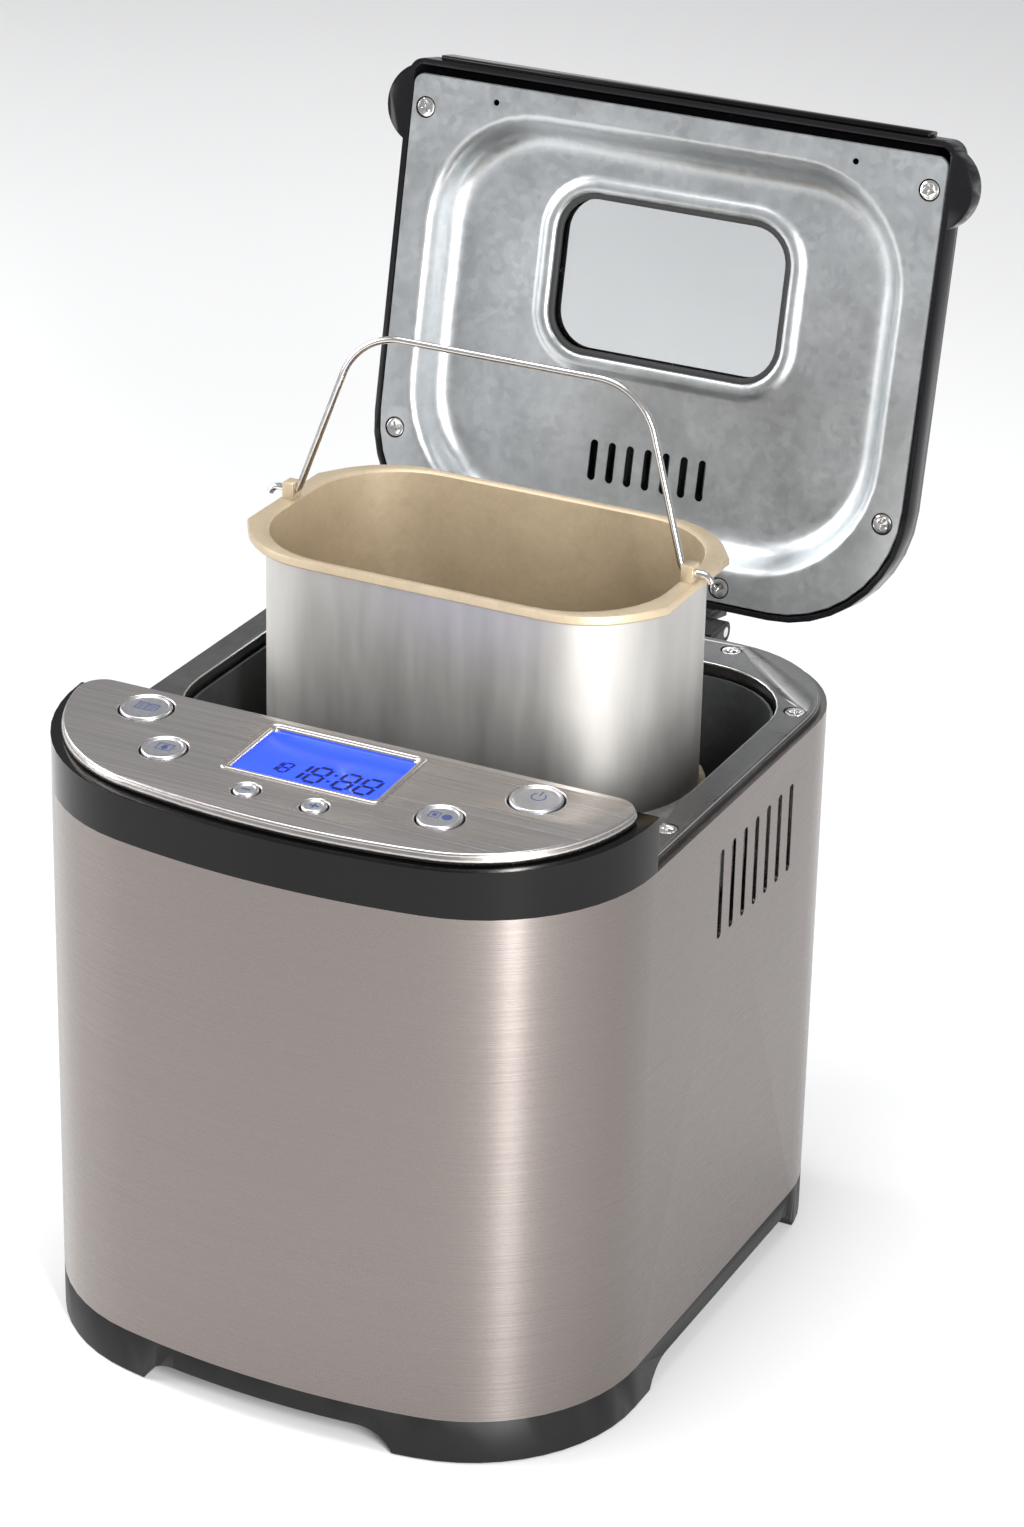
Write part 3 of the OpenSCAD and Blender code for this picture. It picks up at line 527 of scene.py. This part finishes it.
def addDisplay():
    x, y, wide, deep = panel["display"]
    frameRings = []
    for grow, z in ((2.2, 4.40), (1.9, 4.95), (1.2, 5.15), (0.5, 5.0), (0.1, 4.5), (-0.5, 3.6), (-0.7, 3.0)):
        frameRings.append([(px + x, py, z) for px, py in
                           tub(wide / 2 + grow, y - deep / 2 - grow, y + deep / 2 + grow, 2.4, 2.4)])
    bezel = loft("displayBezel", frameRings)
    soften(bezel, 0, 60)
    keep(placeBy(bezel, onPanelPlane), "machine", "panelSteel")
    screen = flatCut("displayScreen", [[(px + x, py) for px, py in
                     tub(wide / 2 + 0.2, y - deep / 2 - 0.2, y + deep / 2 + 0.2, 2, 2)]], 1.9, 3.3, 0.2)
    keep(placeBy(screen, onPanelPlane), "machine", "litDisplay", nodes=("display_window",))
    strokes = []

    def stroke(cx, cy, w, h, lean=0.12):
        strokes.append([(cx + dx + (cy + dy - y) * lean, cy + dy) for dx, dy in
                        ((-w / 2, -h / 2), (w / 2, -h / 2), (w / 2, h / 2), (-w / 2, h / 2))])

    def digit(cx, cy, size, shape):
        w, h, t = size * 0.5, size, size * 0.11
        marks = {"a": (0, h / 2, w * 0.72, t), "g": (0, 0, w * 0.72, t), "d": (0, -h / 2, w * 0.72, t),
                 "f": (-w / 2, h / 4, t, h * 0.39), "b": (w / 2, h / 4, t, h * 0.39),
                 "e": (-w / 2, -h / 4, t, h * 0.39), "c": (w / 2, -h / 4, t, h * 0.39)}
        for letter in {"1": "bc", "8": "abcdefg"}[shape]:
            dx, dy, sw, sh = marks[letter]
            stroke(cx + dx, cy + dy, sw, sh)

    low = y - deep / 2
    for cx, size, shape in ((-14.5, 6.5, "1"), (-10.2, 6.5, "8"), (-5.5, 11, "1"), (2.2, 11, "8"),
                            (13.2, 11, "8"), (21.4, 11, "8")):
        digit(x + cx, low + (7.6 if size == 7 else 9.6), size, shape)
    for dy in (-2.4, 2.4):
        stroke(x + 7.7, low + 9.6 + dy, 1.1, 1.1)
    digits = flatCut("displayDigits", strokes, 3.28, 3.42, 0.02)
    keep(placeBy(digits, onPanelPlane), "machine", "segmentInk")


def addButton(name, x, y, r):
    top = panel["buttonTop"]
    rings = [(r - 0.6, 0.0), (r - 0.05, 0.4), (r - 0.05, top - 0.9), (r - 0.25, top - 0.25), (r - 0.8, top),
             (r - 1.25, top - 0.12), (r - 1.45, top - 0.42), (r - 1.9, top - 0.5),
             (r * 0.5, top - 0.42), (0.4, top - 0.4)]
    cap = loft(name + "Cap", [[(px, py, z) for px, py in circle(x, y, q)] for q, z in rings], True, True)
    soften(cap, 0, 50)
    node = "button_" + name
    keep(placeBy(cap, onPanelPlane), bodyOfNode[node], "capSteel", nodes=(node,))
    marks, t = [], 0.26

    def bar(cx, cy, w, h):
        marks.append([(x + cx - w / 2, y + cy - h / 2), (x + cx + w / 2, y + cy - h / 2),
                      (x + cx + w / 2, y + cy + h / 2), (x + cx - w / 2, y + cy + h / 2)])

    def box(cx, cy, w, h):
        for dy in (-h / 2, h / 2):
            bar(cx, cy + dy, w + t, t)
        for dx in (-w / 2, w / 2):
            bar(cx + dx, cy, t, h - t - 0.02)
    if name in ("minus", "plus"):
        bar(0, 0, r * 0.72, 0.7)
        if name == "plus":
            bar(0, r * 0.23, 0.7, r * 0.24)
            bar(0, -r * 0.23, 0.7, r * 0.24)
    elif name == "menu":
        for side in (-1, 1):
            box(side * 2.2, 0.6, 3.6, 4.6)
            for k in range(3):
                bar(side * 2.2, -0.6 + k * 1.2, 2.3, t)
    elif name == "loaf":
        box(0, 0.8, 5.6, 4.2)
        marks.append(circle(x, y + 0.4, 1.15, 20))
        bar(0, 1.85, 1.6, 0.35)
    elif name == "colour":
        box(-2.3, 0.8, 3.6, 3.6)
        marks.append(circle(x + 2.3, y + 0.8, 1.8, 20))
        bar(-2.3, 0.8, 1.5, 1.5)
    else:
        arc = [radians(125 + 290 * i / 24) for i in range(25)]
        marks.append([(x + 2.7 * cos(a), y + 1.6 + 2.7 * sin(a)) for a in arc] +
                     [(x + 2.3 * cos(a), y + 1.6 + 2.3 * sin(a)) for a in reversed(arc)])
        bar(0, 3.9, 0.45, 3.0)
    icon = flatCut(name + "Icon", marks, top - 0.5, top - 0.33, 0.01)
    keep(placeBy(icon, onPanelPlane), bodyOfNode[node], "darkInk")


addPanelPlate()
addDisplay()
for name, (x, y, r) in panel["buttons"].items():
    addButton(name, x, y, r)
print("control panel finished")

# lid

lid = {"low": 215.3, "half": 109.3, "y0": 83.2, "y1": 262.4, "front": 4.0, "rear": 48.0, "depth": 13.0,
       "recess": (97.3, 93.4, 249.4, 44.0, 50.0), "window": (48.5, 119.0, 181.0, 16.0), "sheet": 0.6}


def addLidPlate():
    half, y0, y1, rf, rr = lid["recess"]
    wHalf, w0, w1, wr = lid["window"]
    z = lid["low"]
    rings = [[(x, y, z + 0.55) for x, y in tub(lid["half"], lid["y0"], lid["y1"], lid["front"], lid["rear"])],
             [(x, y, z) for x, y in tub(lid["half"], lid["y0"], lid["y1"], lid["front"], lid["rear"], 0.3)]]
    for ins, deep in ((-2.2, 0.0), (-1.2, 0.12), (-0.2, 0.6), (0.8, 1.5), (1.8, 3.0), (2.8, 5.0),
                      (3.8, 7.2), (5.0, 9.2), (6.6, 10.9), (8.6, 12.1), (11.0, 12.8), (14.0, 13.0)):
        rings.append([(x, y, z + deep) for x, y in tub(half, y0, y1, rf, rr, ins)])
    for grow, deep in ((7.5, 13.0), (6.2, 12.8), (5.0, 12.1), (4.0, 11.6), (2.4, 11.4), (1.0, 11.7),
                       (0.3, 12.4), (0.0, 13.6), (0, 15.2)):
        rings.append([(x, y, z + deep) for x, y in tub(wHalf + grow, w0 - grow, w1 + grow, wr + grow, wr + grow)])
    plate = loft("lidInnerPlate", rings)
    solid = plate.modifiers.new("sheet", "SOLIDIFY")
    solid.thickness, solid.offset = lid["sheet"] * mm, 0
    bpy.ops.object.modifier_apply(modifier=solid.name)
    cutters = []
    for i in range(-3, 4):
        cutters.append([(7.6 * i + px, py) for px, py in tub(1.7, 212.5, 228.5, 1.69, 1.69, steps=6)])
    for side in (-1, 1):
        cutters.append(circle(73.7 * side, 89.7, 1.2, 16))
        cutters += [circle(x * side, y, 4.2, 32) for x, y in ((103.4, 95.7), (102.4, 220.4), (40.8, 257))]
    cutter = flatCut("slotCutter", cutters, z - 3, z + 20, 0.001)
    pick(plate)
    cut = plate.modifiers.new("slots", "BOOLEAN")
    cut.operation, cut.solver, cut.object = "DIFFERENCE", "EXACT", cutter
    bpy.ops.object.modifier_apply(modifier=cut.name)
    bpy.data.objects.remove(cutter)
    soften(plate, 0, 38)
    return keep(placeBy(plate, onOpenLid), "lid", "zincSheet", nodes=("lid_inner_plate",))


def addWindowFrame():
    wHalf, w0, w1, wr = lid["window"]
    z = lid["low"]
    rings = [[(x, y, z + deep) for x, y in tub(wHalf - i, w0 + i, w1 - i, wr - i, wr - i)]
             for i, deep in ((-0.1, 12.6), (0.6, 12.3), (1.6, 12.3), (2.1, 12.6), (2.2, 13.9))]
    gasket = loft("windowGasket", rings)
    soften(gasket, 0, 50)
    keep(placeBy(gasket, onOpenLid), "lid", "softRubber")


addLidPlate()
addWindowFrame()
print("lid finished")

# pan

pan = {"halfX": 77.5, "halfY": 48.5, "radius": 36.0, "floor": 104.0, "rim": 200.0, "wall": 1.2, "wire": 1.3,
       "footX": 76.0, "topX": 56.3, "bailHigh": 62.0, "bend": 24.0, "lean": 7.0}


def panRing(ins, z):
    y = body["panY"]
    outline = tub(pan["halfX"], y - pan["halfY"], y + pan["halfY"], pan["radius"], pan["radius"], ins)
    return [(px, py, z) for px, py in outline]


def rimRing(ins, z):
    y = body["panY"]
    quarter = [(83 - ins, 26 - ins / 2), (79.8 - ins, 31 - ins / 2), (76.5 - ins, 36 - ins / 2)]
    quarter += [(47 + (36 - ins) * cos(radians(a)), 15 + (36 - ins) * sin(radians(a)))
                for a in range(42, 91, 8)]
    low = [(px, -py) for px, py in reversed(quarter)]
    outline = low + quarter + [(-px, -py) for px, py in low] + [(-px, -py) for px, py in quarter]
    return [(px, py + y, z) for px, py in outline]


def addPan():
    f, r, w = pan["floor"], pan["rim"], pan["wall"]
    outer = loft("panOuter", [panRing(9, f), panRing(3, f + 0.05), panRing(1.2, f + 0.7),
                              panRing(0.3, f + 2.2), panRing(0, f + 4.5), panRing(0, f + 40),
                              panRing(0, r - 3.2), panRing(-0.2, r - 1.6)], closedTop=True)
    soften(outer, 0, 50)
    keep(placeBy(outer, onPan), "pan", "panMetal", nodes=("pan_body",))
    lining = loft("panLining", [panRing(-0.3, r - 1.55), rimRing(1.6, r - 1.7), rimRing(1.5, r - 3.3),
                                rimRing(0.6, r - 3.6), rimRing(0.0, r - 3.0), rimRing(0.0, r - 0.9),
                                rimRing(0.3, r - 0.25), rimRing(1.2, r), panRing(-1.0, r),
                                panRing(0.2, r - 0.2), panRing(w - 0.1, r - 0.9), panRing(w, r - 2.2),
                                panRing(w, f + 12), panRing(w + 0.8, f + 6), panRing(w + 3, f + 2.6),
                                panRing(w + 7, f + 1.6), panRing(w + 20, f + 1.5)], closedEnd=True)
    soften(lining, 0, 42)
    keep(placeBy(lining, onPan), "pan", "panLining")


def addBail():
    lean = atan2(pan["footX"] - pan["topX"], pan["bailHigh"])
    r = pan["bend"]
    cx = pan["topX"] - r * tan((pi / 2 - lean) / 2)
    half = [(88.0, 0, -2.6), (87.2, 0, -1.2), (86.0, 0, -0.3), (84.5, 0, 0), (80, 0, 0), (77.6, 0, 0.2),
            (76.4, 0, 1.0), (75.8, 0, 2.4)]
    half += [(cx + r * cos(a), 0, pan["bailHigh"] - r + r * sin(a))
             for a in [lean + (pi / 2 - lean) * i / 14 for i in range(15)]]
    path = half + [(-x, y, z) for x, y, z in reversed(half)]
    bail = wirePath("panBail", path, pan["wire"])
    pivot = Vector((0, body["panY"] - body["depthToMiddle"], body["bailPivot"] + body["panLift"])) * mm
    turn = Matrix.Translation(pivot) @ Matrix.Rotation(radians(-pan["lean"]), 4, "X")
    keep(placeBy(bail, turn), "bail_wire", "polishedSteel", nodes=("bail",))


addPan()
addBail()
print("pan finished")
